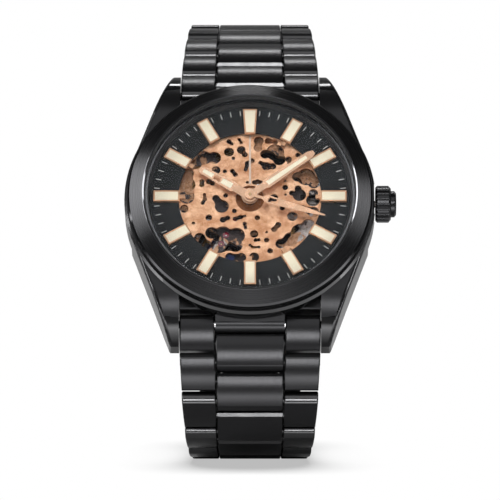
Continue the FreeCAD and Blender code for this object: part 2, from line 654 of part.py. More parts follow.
def movement_screws():
    screws = []
    for number, angle in enumerate(PILLAR_ANGLES):
        turn = 37.0 * number
        screws.append(screw(polar(PILLAR_R, angle), BRIDGE_TOP, 1, 0.55, 0.17, PILLAR_SCREW_R, 1.3, turn))
        screws.append(screw(polar(BACK_SCREW_RING, angle), BACK_BRIDGE_BASE, -1, 0.42, 0.28, BACK_SCREW_R,
                            1.6, turn + 20))
    for number, place in enumerate(FACE_SCREWS):
        screws.append(screw(place, PLATE_TOP, 1, 0.5, 0.3, 0.25, 0.55, 50.0 * number + 25))
    return group(screws)


# ---------------------------------------------------------------- train
def arbor(place, z0, z1, radius):
    """Plain axle with a thinner pivot at each end; the pivots run in the jewels."""
    x, y = place
    low = BACK_BRIDGE_BASE + 0.1
    high = PLATE_TOP - 0.1
    return fuse([disc(radius, z0, z1, x, y), disc(PIVOT_R, low, z0, x, y), disc(PIVOT_R, z1, high, x, y)])


def barrel(phase):
    x, y = BARREL
    toothed = gear(BARREL_TEETH, BARREL_MODULE, phase, BARREL_TOOTH_Z[0], BARREL_TOOTH_Z[1], x, y, 0.95)
    wall = ring(5.35, 5.0, BARREL_TOOTH_Z[1], BARREL_Z[1], x, y)
    hollow = disc(5.0, BARREL_TOOTH_Z[0] + 0.2, BARREL_TOOTH_Z[1] + 0.5, x, y)
    drum = fuse([toothed, wall]).cut(hollow)
    lid = ring(5.0, 0.95, BARREL_Z[1] - 0.18, BARREL_Z[1], x, y)
    lid = cut(lid, [disc(0.35, -FAR, FAR, x + dx, y + dy) for dx, dy in (polar(3.9, 70 + 120 * i)
                                                                         for i in range(3))])
    return group([drum, lid])


def mainspring():
    return spiral(1.1, 4.85, 9, 0.12, BARREL_TOOTH_Z[0] + 0.25, BARREL_Z[1] - 0.23, *BARREL)


def ratchet_wheel():
    """Winding wheel on the barrel's own arbor, under the train bridge."""
    x, y = BARREL
    teeth = 42
    wheel = gear(teeth, 0.16, 0, RATCHET_Z[0], RATCHET_Z[1], x, y, 0.5)
    recess = ring(2.7, 1.1, RATCHET_Z[0] - 1, RATCHET_Z[0] + 0.12, x, y)
    axle = disc(0.85, RATCHET_Z[1], BARREL_Z[1] + 1.1, x, y)
    return group([wheel.cut(recess), disc(0.5, RATCHET_Z[0], RATCHET_Z[1], x, y).fuse(axle)])


def center_wheel(phase, leaf_phase):
    wheel = gear(CENTER_TEETH, CENTER_MODULE, phase, CENTER_Z[0], CENTER_Z[1], 0, 0, 0.5, 5, 1.1, 0.45)
    leaves = gear(CENTER_LEAVES, BARREL_MODULE, leaf_phase, CENTER_LEAF_Z[0], CENTER_LEAF_Z[1], 0, 0, 0.2)
    tube = ring(0.5, 0.2, CENTER_LEAF_Z[1], CENTER_Z[1], 0, 0)
    neck = ring(0.34, 0.2, CENTER_Z[1], 0.3, 0, 0)
    return group([wheel, fuse([leaves, tube, neck])])


def third_wheel(phase, leaf_phase):
    x, y = THIRD
    wheel = gear(THIRD_TEETH, THIRD_MODULE, phase, THIRD_Z[0], THIRD_Z[1], x, y, 0.3, 5, 0.9, 0.45)
    leaves = gear(SMALL_LEAVES, CENTER_MODULE, leaf_phase, -3.7, -3.1, x, y, 0.2)
    axle = arbor(THIRD, -5.6, -3.1, 0.2)
    boss = ring(0.3, 0.2, THIRD_Z[0], THIRD_Z[1], x, y)
    return group([wheel, fuse([leaves, axle, boss])])


def fourth_wheel(phase, leaf_phase):
    """Seconds wheel; its long arbor runs up inside the centre wheel's to the seconds hand."""
    wheel = gear(FOURTH_TEETH, FOURTH_MODULE, phase, FOURTH_Z[0], FOURTH_Z[1], 0, 0, 0.3, 5, 0.9, 0.35)
    leaves = gear(SMALL_LEAVES, THIRD_MODULE, leaf_phase, FOURTH_LEAF_Z[0], FOURTH_LEAF_Z[1], 0, 0, 0.1)
    axle = fuse([disc(0.15, FOURTH_LEAF_Z[0], SECONDS_HAND_Z[0] + 0.2),
                 disc(0.3, FOURTH_Z[0], FOURTH_LEAF_Z[0]),
                 disc(PIVOT_R, BACK_BRIDGE_BASE + 0.1, FOURTH_Z[0])])
    return group([wheel, fuse([leaves, axle])])


def escape_wheel(leaf_phase):
    """Club-toothed escape wheel on the same arbor as its pinion."""
    x, y = ESCAPE
    outline = []
    for tooth in range(ESCAPE_TEETH):
        start = 360.0 * tooth / ESCAPE_TEETH
        outline += [polar(1.45, start), polar(2.0, start + 7.0), polar(2.12, start + 10.5),
                    polar(1.95, start + 11.5), polar(1.45, start + 7.5)]
    wheel = prism(outline, ESCAPE_Z[0], ESCAPE_Z[1]).cut(disc(0.2, -FAR, FAR))
    wheel = cut(wheel, windows(4, 0.55, 1.15, 0.25, -FAR, FAR))
    wheel.translate(V(x, y, 0))
    leaves = gear(SMALL_LEAVES, FOURTH_MODULE, leaf_phase, -5.8, -5.45, x, y, 0.1)
    axle = arbor(ESCAPE, -5.8, -3.1, 0.2)
    return group([wheel, fuse([leaves, axle])])


def pallet_fork():
    """Lever with two pallet stones astride the escape wheel and a forked tail at the balance."""
    low, high = ESCAPE_Z[1] + 0.05, ESCAPE_Z[1] + 0.2
    outline = [(0.2, 0.22), (-0.3, 0.22), (-0.95, 1.95), (-1.3, 2.0), (-1.25, 1.5), (-0.5, 0.0),
               (-1.25, -1.5), (-1.3, -2.0), (-0.95, -1.95), (-0.3, -0.22), (0.2, -0.22), (0.95, -0.25),
               (0.95, -0.12), (0.7, 0.0), (0.95, 0.12), (0.95, 0.25)]
    stones = [disc(0.13, ESCAPE_Z[0], high, -1.12, side * 1.85) for side in (1, -1)]
    body = fuse([disc(0.42, low, high + 0.2), prism(outline, low, high)] + stones)
    body.rotate(V(0, 0, 0), Z_AXIS, ESCAPE_TO_BALANCE)
    body.translate(V(PALLET[0], PALLET[1], 0))
    x, y = PALLET
    axle = fuse([disc(0.18, PALLET_COCK_Z[1] + 0.05, -3.1, x, y),
                 disc(PIVOT_R, PALLET_COCK_Z[0] + 0.1, PALLET_COCK_Z[1] + 0.05, x, y),
                 disc(PIVOT_R, -3.1, PLATE_TOP - 0.1, x, y)])
    return fuse([body, axle])


def balance_wheel():
    rim = ring(BALANCE_R, BALANCE_R - 0.42, *BALANCE_Z)
    arm = block(-0.05, BALANCE_R - 0.3, -0.22, 0.22, BALANCE_Z[0] + 0.1, BALANCE_Z[1] - 0.1)
    arms = [spin(arm, 120.0 * i + 20) for i in range(3)]
    hub = disc(0.6, *BALANCE_Z)
    wheel = fuse([rim, hub] + arms)
    wheel.translate(V(BALANCE[0], BALANCE[1], 0))
    roller = disc(0.5, ROLLER_Z[0], ROLLER_Z[1], *BALANCE)
    return fuse([wheel, arbor(BALANCE, -5.8, -3.1, 0.2), roller])


def hairspring():
    return spiral(0.45, 2.5, 8, 0.06, HAIRSPRING_Z[0], HAIRSPRING_Z[1], *BALANCE)


def cannon_pinion(phase):
    leaves = gear(CENTER_LEAVES, CANNON_MODULE, phase, -1.95, -1.62, 0, 0, 0.35)
    tube = ring(0.65, 0.35, -1.62, MINUTE_HAND_Z[1] + 0.04)
    return fuse([leaves, tube.fuse(ring(0.5, 0.35, -1.95, -1.62))])


def minute_wheel(phase, leaf_phase):
    x, y = MINUTE
    wheel = gear(MINUTE_TEETH, CANNON_MODULE, phase, MINUTE_Z[0], MINUTE_Z[1], x, y, 0.34)
    leaves = gear(MINUTE_LEAVES, HOUR_MODULE, leaf_phase, MINUTE_Z[1], HOUR_Z[1], x, y, 0.34)
    return fuse([wheel, leaves])


def hour_wheel(phase):
    wheel = gear(HOUR_TEETH, HOUR_MODULE, phase, HOUR_Z[0], HOUR_Z[1], 0, 0, 0.72)
    return fuse([wheel, ring(0.95, 0.72, HOUR_Z[0], HOUR_HAND_Z[1] + 0.05)])


# ---------------------------------------------------------------- hands
def hour_hand():
    z0, z1 = HOUR_HAND_Z
    blade = prism([(-0.8, 0), (-0.72, 3.0), (-0.95, 3.4), (-0.7, 9.4), (-0.45, 9.9),
                   (0.45, 9.9), (0.7, 9.4), (0.95, 3.4), (0.72, 3.0), (0.8, 0)], z0, z1)
    hand = fuse([blade, disc(1.45, z0, z1)])
    cells = [prism([(-0.5, 3.6), (-0.5, 5.6), (0.5, 5.6), (0.5, 3.6)], z0 + 0.06, FAR),
             prism([(-0.42, 5.85), (-0.4, 7.1), (0.4, 7.1), (0.42, 5.85)], -FAR, FAR),
             prism([(-0.42, 7.35), (-0.3, 9.3), (0.3, 9.3), (0.42, 7.35)], z0 + 0.06, FAR)]
    return spin(cut(hand, cells + [disc(0.95, -FAR, FAR)]), -HOUR_ANGLE)


def minute_hand():
    z0, z1 = MINUTE_HAND_Z
    blade = prism([(-0.62, 0), (-0.6, 3.0), (-0.85, 3.5), (-0.72, 12.6), (-0.35, 13.6), (0.35, 13.6),
                   (0.72, 12.6), (0.85, 3.5), (0.6, 3.0), (0.62, 0)], z0, z1)
    hand = fuse([blade, disc(1.25, z0, z1)])
    cell = prism([(-0.42, 3.7), (-0.3, 12.0), (0.3, 12.0), (0.42, 3.7)], z0 + 0.06, FAR)
    return spin(cut(hand, [cell, disc(0.65, -FAR, FAR)]), -MINUTE_ANGLE)


def seconds_hand():
    z0, z1 = SECONDS_HAND_Z
    leaf = prism([(-0.24, 0), (-0.24, 2.2), (-0.75, 3.2), (-0.62, 6.0), (-0.5, 9.6), (-0.12, 13.3),
                  (0.12, 13.3), (0.5, 9.6), (0.62, 6.0), (0.75, 3.2), (0.24, 2.2), (0.24, 0)], z0, z1)
    opening = prism([(-0.45, 3.3), (-0.4, 5.0), (0.4, 5.0), (0.45, 3.3)], -FAR, FAR)
    hub = disc(0.85, z0 - 0.08, z1 + 0.08)
    return spin(cut(fuse([leaf, hub]), [opening, disc(0.15, -FAR, FAR)]), -SECONDS_ANGLE)


# ---------------------------------------------------------------- crown, keyless works and rotor
def crown():
    body = turned_on_x([(21.4, 0), (21.4, CROWN_R - 0.3), (21.7, CROWN_R), (23.6, CROWN_R),
                        (24.0, CROWN_R - 0.45), (24.0, 2.25), (24.6, 2.25), (24.9, 1.9),
                        (24.9, 0)], 0, STEM_Z)
    flutes = []
    count = 22
    for i in range(count):
        y, z = polar(CROWN_R + 0.12, 360.0 * i / count)
        flutes.append(rod(0.27, 20.0, 24.01, y, STEM_Z + z))
    return cut(body, flutes + [rod(STEM_R, 20.0, 22.9, 0, STEM_Z)])


def winding_stem():
    stem = turned_on_x([(9.2, 0), (9.2, 0.4), (11.7, 0.4), (11.7, 0.42), (12.2, 0.42), (12.2, STEM_R),
                        (22.9, STEM_R), (22.9, 0)], 0, STEM_Z)
    pinion = turned_on_x([(9.8, 0.4), (9.8, 0.75), (10.2, 1.05), (11.2, 1.05), (11.2, 0.4)], 0, STEM_Z)
    teeth = []
    for i in range(12):
        y, z = polar(1.1, 30.0 * i)
        teeth.append(rod(0.14, 9.0, 12.0, y, STEM_Z + z))
    return group([stem, cut(pinion, teeth)])


def setting_lever():
    """Forked plate in the stem's groove; it is pulled along with the crown."""
    plate = block(11.75, 12.15, -1.1, 1.1, STEM_Z - 0.65, PLATE_TOP - 0.02)
    return cut(plate, [rod(0.45, 11.0, 13.0, 0, STEM_Z), block(11.0, 13.0, -0.45, 0.45, -FAR, STEM_Z)])


def rotor():
    """Half-disc winding weight: a thin pierced web and a thick outer rim."""
    half = block(-FAR, FAR, -FAR, 0.0, -FAR, FAR)
    web = disc(12.0, -7.35, -7.1).common(half)
    weight = ring(13.0, 10.6, -8.2, -7.1).common(half)
    hub = disc(2.6, -7.35, -7.1)
    slots = []
    for i in range(5):
        slots.append(spin(capsule(4.4, 0, 9.2, 0, 0.75, -FAR, FAR), -22 - 34 * i))
    body = fuse([web, weight, hub])
    return cut(body, slots + [disc(1.6, -FAR, FAR)])


def rotor_bearing():
    """Ball-race ring and its post, fixed to the train bridge."""
    post = disc(1.5, -7.4, BACK_BRIDGE_BASE - 0.05)
    flange = disc(2.0, -7.05, -6.92)
    cover = disc(2.0, -7.55, -7.4)
    balls = [disc(0.24, -8, -7.5, *polar(1.5, 72 * i)) for i in range(5)]
    screw_slot = block(-0.8, 0.8, -0.12, 0.12, -8, -7.47)
    return cut(fuse([post, flange, cover]), balls + [screw_slot])


# ---------------------------------------------------------------- bracelet
def half_width(distance):
    return min(HALF_WIDTH, max(END_HALF_WIDTH, HALF_WIDTH - TAPER * (distance - PITCH)))


def center_half(distance):
    return CENTER_HALF - CENTER_TAPER * min(distance, 40.0)


def on_pin(y, degrees):
    """Point on the round end about a pin at y."""
    return V(0, y + LINK_R * math.cos(math.radians(degrees)), LINK_R * math.sin(math.radians(degrees)))


def link_side(start, end, start_round):
    """Side outline of a link along y: crowned on top, flat towards the wrist, one end round about a pin.

    An outer link is round at its start and a centre link at its end; the other end is flat with a bevel."""
    middle = (start + end) / 2
    under = 0.3
    if start_round:
        top_start = on_pin(start, 115)
        bottom_start = V(0, start, -LINK_R)
        start_edges = [Part.Arc(bottom_start, on_pin(start, 180), top_start).toShape()]
        top_end = V(0, end - END_BEVEL / 2, LINK_R - CROWN_DROP)
        corners = [top_end, V(0, end, LINK_R - CROWN_DROP - END_BEVEL / 2), V(0, end, -LINK_R + under),
                   V(0, end - under, -LINK_R), bottom_start]
        end_edges = []
    else:
        top_start = V(0, start + END_BEVEL, LINK_R - CROWN_DROP + 0.05)
        top_end = on_pin(end, 65)
        bottom_end = V(0, end, -LINK_R)
        start_edges = []
        end_edges = [Part.Arc(top_end, on_pin(end, 0), bottom_end).toShape()]
        corners = [bottom_end, V(0, start + under, -LINK_R), V(0, start, -LINK_R + under),
                   V(0, start, LINK_R - CROWN_DROP - END_BEVEL), top_start]
    crown = Part.Arc(top_start, V(0, middle, LINK_R + CROWN_RISE), top_end).toShape()
    straight = [Part.makeLine(a, b) for a, b in zip(corners, corners[1:])]
    return Part.Wire(Part.__sortEdges__(start_edges + [crown] + end_edges + straight))


def link(start, end, start_round, low_side, high_side):
    """Link between two sides, each a pair of x values at the start and at the end."""
    profile = Part.Face(link_side(start, end, start_round)).extrude(V(FAR, 0, 0))
    profile.translate(V(-FAR / 2, 0, 0))
    reach = LINK_R + 0.5
    plan = prism([(low_side[0], start - reach), (high_side[0], start - reach),
                  (high_side[1], end + reach), (low_side[1], end + reach)], -5, 5)
    body = profile.common(plan)

    def long_edge(edge):
        """Edges that run along the link between its faces and its sides."""
        box = edge.BoundBox
        return box.YLength > 1.5 and abs(box.ZMin) > 1.0 and box.XLength < 1.0

    return soften(body, 0.22, long_edge)


def bracelet_row(number, end_pin):
    """One row with its hinge pin at the origin, running along +y; number 0 is next to the case.

    The end pin is the loose one that the upper side's last row brings to the clasp."""
    base = number * PITCH
    outer_start, outer_end = 0.0, PITCH - LINK_R - LINK_GAP
    center_start, center_end = LINK_R + LINK_GAP, PITCH

    def outer_x(s):
        return half_width(base + s)

    def inner_x(s):
        return center_half(base + s)

    reach = LINK_R + 0.5
    center = link(center_start, center_end, False,
                  (-inner_x(center_start - reach), -inner_x(center_end + reach)),
                  (inner_x(center_start - reach), inner_x(center_end + reach)))
    outer = link(outer_start, outer_end, True,
                 (inner_x(outer_start - reach) + SIDE_GAP, inner_x(outer_end + reach) + SIDE_GAP),
                 (outer_x(outer_start - reach), outer_x(outer_end + reach)))
    middle = PITCH / 2
    hinge_hole_r = BAR_R + 0.05 if number == 0 else PIN_R
    hinge_hole = rod(hinge_hole_r, -FAR, FAR, 0, 0)
    fixed_hole = rod(PIN_R, -outer_x(middle) + 1.2, outer_x(middle) - 1.2, middle, 0)
    next_hole = rod(PIN_R if end_pin else PIN_HOLE_R, -FAR, FAR, PITCH, 0)
    center = cut(center, [fixed_hole, next_hole])
    outer = cut(outer, [hinge_hole, fixed_hole])
    pieces = [center, outer, outer.mirror(V(0, 0, 0), X_AXIS)]
    pieces.append(rod(PIN_R, -outer_x(middle) + 1.2, outer_x(middle) - 1.2, middle, 0))
    if number > 0:
        pieces.append(rod(PIN_R, -outer_x(0) + 0.1, outer_x(0) - 0.1, 0, 0))
    if end_pin:
        pieces.append(rod(PIN_R, -END_HALF_WIDTH + 0.2, END_HALF_WIDTH - 0.2, PITCH, 0))
    return group(pieces)


def place_row(shape, pin, heading, side):
    """Carry a row from the origin to its pin; side is +1 at 12 o'clock and -1 at 6 o'clock."""
    placed = shape.copy()
    if side < 0:
        placed.rotate(V(0, 0, 0), Z_AXIS, 180)
    placed.rotate(V(0, 0, 0), X_AXIS, -side * heading)
    placed.translate(V(0, pin[0], pin[1]))
    return placed


def pin_chain(headings, side):
    """Hinge pins (y, z) from the spring bar to the clasp."""
    pins = [(side * BAR_Y, BAR_Z)]
    for heading in headings:
        y, z = pins[-1]
        angle = math.radians(heading)
        pins.append((y + side * PITCH * math.cos(angle), z - PITCH * math.sin(angle)))
    return pins


UPPER_PINS = pin_chain(UPPER_HEADINGS, 1)
LOWER_PINS = pin_chain(LOWER_HEADINGS, -1)
CLASP_LENGTH = math.dist(UPPER_PINS[-1], LOWER_PINS[-1])
CLASP_HEADING = math.degrees(math.atan2(UPPER_PINS[-1][1] - LOWER_PINS[-1][1],
                                        UPPER_PINS[-1][0] - LOWER_PINS[-1][0]))

# ---------------------------------------------------------------- clasp
# drawn with the lower end's pin at the origin, y towards the upper end and z into the loop
COVER_OUT = -1.9
COVER_IN = -0.9
COVER_WALL = 1.1
COVER_WALL_TOP = 1.6
COVER_END = CLASP_LENGTH - 5.0
LONG_HINGE_Y = CLASP_LENGTH - 8.5      # cover to long blade
LONG_HINGE_Z = 0.0
SHORT_HINGE_Y = 7.5                    # long blade to short blade
SHORT_HINGE_Z = 1.15
CLASP_PIN_R = 0.4
CLASP_HOLE_R = 0.44
KNUCKLE_R = 0.68
BLADE_HALF_THICK = 0.33
LONG_HALF = 4.2
SHORT_HALF = 3.05


def clasp_cover():
    """Outer shell: a plate with two side walls whose lower ends ride on the bracelet's last pin."""
    half = END_HALF_WIDTH
    wall = half - COVER_WALL
    plate = block(-half, half, LINK_R + LINK_GAP, COVER_END, COVER_OUT, COVER_IN)
    inner = center_half(FAR) + SIDE_GAP
    sides = []
    for x_wall, x_inner, x_outer in ((wall, inner, half), (-half, -half, -inner)):
        sides.append(block(x_wall, x_wall + COVER_WALL, 0.0, COVER_END, COVER_OUT, COVER_WALL_TOP))
        sides.append(rod(LINK_R, x_inner, x_outer, 0, 0))
        sides.append(block(x_inner, x_outer, 0.0, 3.0, -LINK_R, LINK_R))
    hinge_pin = rod(CLASP_PIN_R, -half + 0.4, half - 0.4, LONG_HINGE_Y, LONG_HINGE_Z)
    end_pin = rod(PIN_R, -half + 0.1, half - 0.1, 0, 0)
    body = cut(fuse([plate] + sides), [hinge_pin, end_pin])
    body = soften(body, 0.5, lambda edge: (edge.BoundBox.ZMax < COVER_OUT + 0.01
                                           and edge.BoundBox.YLength > 10))
    return group([body, hinge_pin, end_pin])


def clasp_blade_long():
    """Longer folding blade: hinged to the cover at one end, with two ears for the short blade's pin."""
    plate = block(-LONG_HALF, LONG_HALF, SHORT_HINGE_Y, LONG_HINGE_Y, -BLADE_HALF_THICK, BLADE_HALF_THICK)
    knuckle = rod(KNUCKLE_R, -LONG_HALF, LONG_HALF, LONG_HINGE_Y, LONG_HINGE_Z)
    ears = []
    for x in (SHORT_HALF + 0.1, -LONG_HALF):
        ears.append(rod(KNUCKLE_R, x, x + LONG_HALF - SHORT_HALF - 0.1, SHORT_HINGE_Y, SHORT_HINGE_Z))
        ears.append(block(x, x + LONG_HALF - SHORT_HALF - 0.1, SHORT_HINGE_Y - KNUCKLE_R,
                          SHORT_HINGE_Y + KNUCKLE_R, -BLADE_HALF_THICK, SHORT_HINGE_Z))
    window = capsule(0, SHORT_HINGE_Y + 6, 0, LONG_HINGE_Y - 6, 1.5, -FAR, FAR)
    ear_pin = rod(CLASP_PIN_R, -LONG_HALF + 0.1, LONG_HALF - 0.1, SHORT_HINGE_Y, SHORT_HINGE_Z)
    body = cut(fuse([plate, knuckle] + ears),
               [rod(CLASP_HOLE_R, -FAR, FAR, LONG_HINGE_Y, LONG_HINGE_Z), ear_pin, window])
    return group([body, ear_pin])


def clasp_blade_short():
    """Shorter blade with a crosspiece whose open hooks hold the upper end of the bracelet."""
    low = SHORT_HINGE_Z - BLADE_HALF_THICK
    high = SHORT_HINGE_Z + BLADE_HALF_THICK
    start = CLASP_LENGTH - 4.8
    plate = block(-SHORT_HALF, SHORT_HALF, SHORT_HINGE_Y, start + 0.5, low, high)
    knuckle = rod(KNUCKLE_R, -SHORT_HALF, SHORT_HALF, SHORT_HINGE_Y, SHORT_HINGE_Z)
    outer = END_HALF_WIDTH - 0.1
    inner = center_half(FAR) + SIDE_GAP
    cross = block(-outer, outer, start, CLASP_LENGTH - LINK_R - 0.3, low, LINK_R)
    hooks = []
    for x in (inner, -outer):
        hooks.append(rod(LINK_R, x, x + outer - inner, CLASP_LENGTH, 0))
        hooks.append(block(x, x + outer - inner, start, CLASP_LENGTH, -LINK_R, LINK_R))
    slot = PIN_R + 0.1
    window = capsule(0, SHORT_HINGE_Y + 5, 0, start - 5, 1.1, -FAR, FAR)
    mouths = [rod(slot, -FAR, FAR, CLASP_LENGTH, 0),
              block(-FAR, FAR, CLASP_LENGTH, CLASP_LENGTH + 3, -slot, slot),
              rod(CLASP_HOLE_R, -FAR, FAR, SHORT_HINGE_Y, SHORT_HINGE_Z), window]
    return cut(fuse([plate, knuckle, cross] + hooks), mouths)


def place_clasp(shape):
    placed = shape.copy()
    placed.rotate(V(0, 0, 0), X_AXIS, CLASP_HEADING)
    placed.translate(V(0, LOWER_PINS[-1][0], LOWER_PINS[-1][1]))
    return placed


# ---------------------------------------------------------------- assembly
def train_nodes():
    """Wheels with their teeth placed so that every pair meshes."""
    center_leaf = 0.0
    barrel_phase = mesh_phase(center_leaf, CENTER_LEAVES, BARREL_TEETH, BARREL_DIRECTION)
    center_phase = 0.0
    third_leaf = mesh_phase(center_phase, CENTER_TEETH, SMALL_LEAVES, THIRD_DIRECTION)
    third_phase = 0.0
    fourth_leaf = mesh_phase(third_phase, THIRD_TEETH, SMALL_LEAVES, THIRD_DIRECTION + 180)
    fourth_phase = 0.0
    escape_leaf = mesh_phase(fourth_phase, FOURTH_TEETH, SMALL_LEAVES, ESCAPE_DIRECTION)
    cannon_phase = 0.0
    minute_phase = mesh_phase(cannon_phase, CENTER_LEAVES, MINUTE_TEETH, MINUTE_DIRECTION)
    minute_leaf = 0.0
    hour_phase = mesh_phase(minute_leaf, MINUTE_LEAVES, HOUR_TEETH, MINUTE_DIRECTION + 180)
    return {
        "barrel": barrel(barrel_phase),
        "mainspring": mainspring(),
        "ratchet_wheel": ratchet_wheel(),
        "center_wheel": center_wheel(center_phase, center_leaf),
        "third_wheel": third_wheel(third_phase, third_leaf),
        "fourth_wheel": fourth_wheel(fourth_phase, fourth_leaf),
        "escape_wheel": escape_wheel(escape_leaf),
        "pallet_fork": pallet_fork(),
        "balance_wheel": balance_wheel(),
        "hairspring": hairspring(),
        "cannon_pinion": cannon_pinion(cannon_phase),
        "minute_wheel": minute_wheel(minute_phase, minute_leaf),
        "hour_wheel": hour_wheel(hour_phase),
    }


def head_nodes():
    return {
        "mid_case": mid_case(), "bezel": bezel(), "crystal": crystal(), "crystal_gasket": crystal_gasket(),
        "rehaut_ring": rehaut_ring(), "case_back": case_back(), "case_back_glass": case_back_glass(),
        "movement_holder": movement_holder(), "spring_bars": spring_bars(), "end_links": end_links(),
        "dial_plate": dial_plate(), "hour_indices": hour_indices(), "main_plate": main_plate(),
        "skeleton_bridge": skeleton_bridge(), "train_bridge": train_bridge(),
        "balance_cocks": balance_cocks(), "jewels": jewels(), "movement_screws": movement_screws(),
        "rotor_bearing": rotor_bearing(), "rotor": rotor(), "crown": crown(),
        "winding_stem": winding_stem(), "setting_lever": setting_lever(),
        "hour_hand": hour_hand(), "minute_hand": minute_hand(), "seconds_hand": seconds_hand(),
    }


def bracelet_nodes():
    nodes = {}
    for name, headings, pins, side in (("upper", UPPER_HEADINGS, UPPER_PINS, 1),
                                       ("lower", LOWER_HEADINGS, LOWER_PINS, -1)):
        for number, heading in enumerate(headings):
            row = bracelet_row(number, side > 0 and number == len(headings) - 1)
            nodes[f"{name}_row_{number + 1}"] = place_row(row, pins[number], heading, side)
    nodes["clasp_cover"] = place_clasp(clasp_cover())
    nodes["clasp_blade_long"] = place_clasp(clasp_blade_long())
    nodes["clasp_blade_short"] = place_clasp(clasp_blade_short())
    return nodes


def main():
    os.makedirs("parts", exist_ok=True)
    nodes = head_nodes()
    nodes.update(train_nodes())
    nodes.update(bracelet_nodes())
    for name, shape in nodes.items():
        shape.translate(V(0, 0, -BACK_FACE))
        shape.rotate(V(0, 0, 0), X_AXIS, LEAN)
        shape.exportStep(f"parts/{name}.step")


main()
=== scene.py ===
import math
import bpy
import bmesh
from mathutils import Matrix, Vector


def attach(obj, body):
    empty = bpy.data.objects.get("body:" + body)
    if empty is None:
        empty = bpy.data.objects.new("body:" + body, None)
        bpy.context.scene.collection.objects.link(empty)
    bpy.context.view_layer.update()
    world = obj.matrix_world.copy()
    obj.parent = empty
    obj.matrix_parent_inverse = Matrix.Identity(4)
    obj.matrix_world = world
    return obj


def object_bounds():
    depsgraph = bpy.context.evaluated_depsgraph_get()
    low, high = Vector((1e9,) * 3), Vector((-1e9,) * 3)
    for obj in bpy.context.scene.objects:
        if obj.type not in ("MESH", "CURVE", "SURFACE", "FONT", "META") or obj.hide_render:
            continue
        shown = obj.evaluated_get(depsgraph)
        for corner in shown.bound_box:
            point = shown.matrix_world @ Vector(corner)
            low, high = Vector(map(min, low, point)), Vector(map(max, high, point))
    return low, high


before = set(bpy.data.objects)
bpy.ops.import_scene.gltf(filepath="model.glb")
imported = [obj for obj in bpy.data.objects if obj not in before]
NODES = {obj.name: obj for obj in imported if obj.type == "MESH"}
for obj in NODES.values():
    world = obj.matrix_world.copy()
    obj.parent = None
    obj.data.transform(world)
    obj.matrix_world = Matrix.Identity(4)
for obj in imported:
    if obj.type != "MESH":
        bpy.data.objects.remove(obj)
CAD_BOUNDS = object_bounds()

# ---------------------------------------------------------------- the watch frame
# The head is drawn with x to 3 o'clock, y to 12 o'clock and z out of the dial, in millimetres, with the
# dial's top face at z = 0. The row frame leans it back and has its origin on the case back.
MM = 0.001
LEAN = math.radians(62.7)
BACK_DEPTH = 9.6                    # case back's outer face to the dial's top face
HEAD = Matrix.Rotation(LEAN, 4, "X") @ Matrix.Translation((0, 0, BACK_DEPTH * MM)) @ Matrix.Scale(MM, 4)

INDEX_IN = 12.0
INDEX_OUT = 16.4
INDEX_TOP = 0.55
INDEX_RIM = 0.24
TICK_HALF = 0.055
TICK_IN = 15.45
TICK_HEIGHT = 0.012
DOME_INSET = 0.35                   # how far a domed slab's flat middle lies in from its outline
HOUR_ANGLE = 301.0
MINUTE_ANGLE = 53.3
HOUR_TOP = 0.5
MINUTE_TOP = 0.86

BEZEL_SLOPE_IN = 18.27              # radii of the bezel's brushed slope and of its inner lip, whose paler colour is a painted highlight
BEZEL_SLOPE_OUT = 20.48
BEZEL_LIP = 18.3
RIB_HALF = 0.19                     # the fixed rib towards 12, and how far below the dial it starts
RIB_DEPTH = 0.55
BOWL_R = 2.4                        # the sunk bowl round the hands' axis
BOWL_DEPTH = 0.7
WALL_SHADE_DEPTH = 0.72                   # below this the openings' walls are painted darker, as shade

# directions of the bracelet's rows, in degrees below the dial's plane
UPPER_HEADINGS = (30, 31, 38, 52, 70, 84, 104, 128)
LOWER_HEADINGS = (12, 27, 60, 90, 106, 117, 118, 135, 155, 174)

# ---------------------------------------------------------------- shader helper


